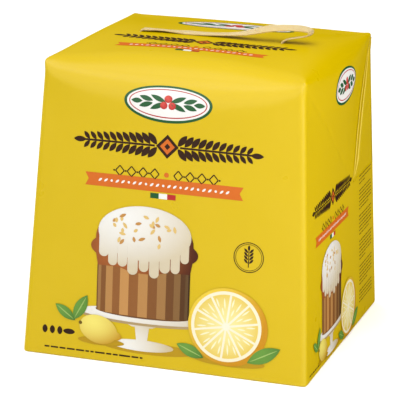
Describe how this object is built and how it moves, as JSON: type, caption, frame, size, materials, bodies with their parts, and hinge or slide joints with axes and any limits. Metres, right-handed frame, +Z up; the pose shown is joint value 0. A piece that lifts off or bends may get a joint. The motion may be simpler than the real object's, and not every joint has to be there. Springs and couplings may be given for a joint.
{
  "type": "panettone gift carton",
  "caption": "Closed tapered square paperboard carton for a large sweet loaf, with a crowned pillow top, a folded dart on each side and a flat woven tape handle.",
  "frame": {"origin": "middle of the base, on the surface the carton stands on", "axes": "+Z up, the printed front panel faces -Y, +X to the right of the front"},
  "size_m": [0.205, 0.205, 0.227],
  "materials": {
    "carton": null,
    "handle_tape": "flat woven cream tape, slight sheen"
  },
  "bodies": {
    "root": {"carton": "carton", "handle_tape": "handle_tape"}
  },
  "joints": []
}
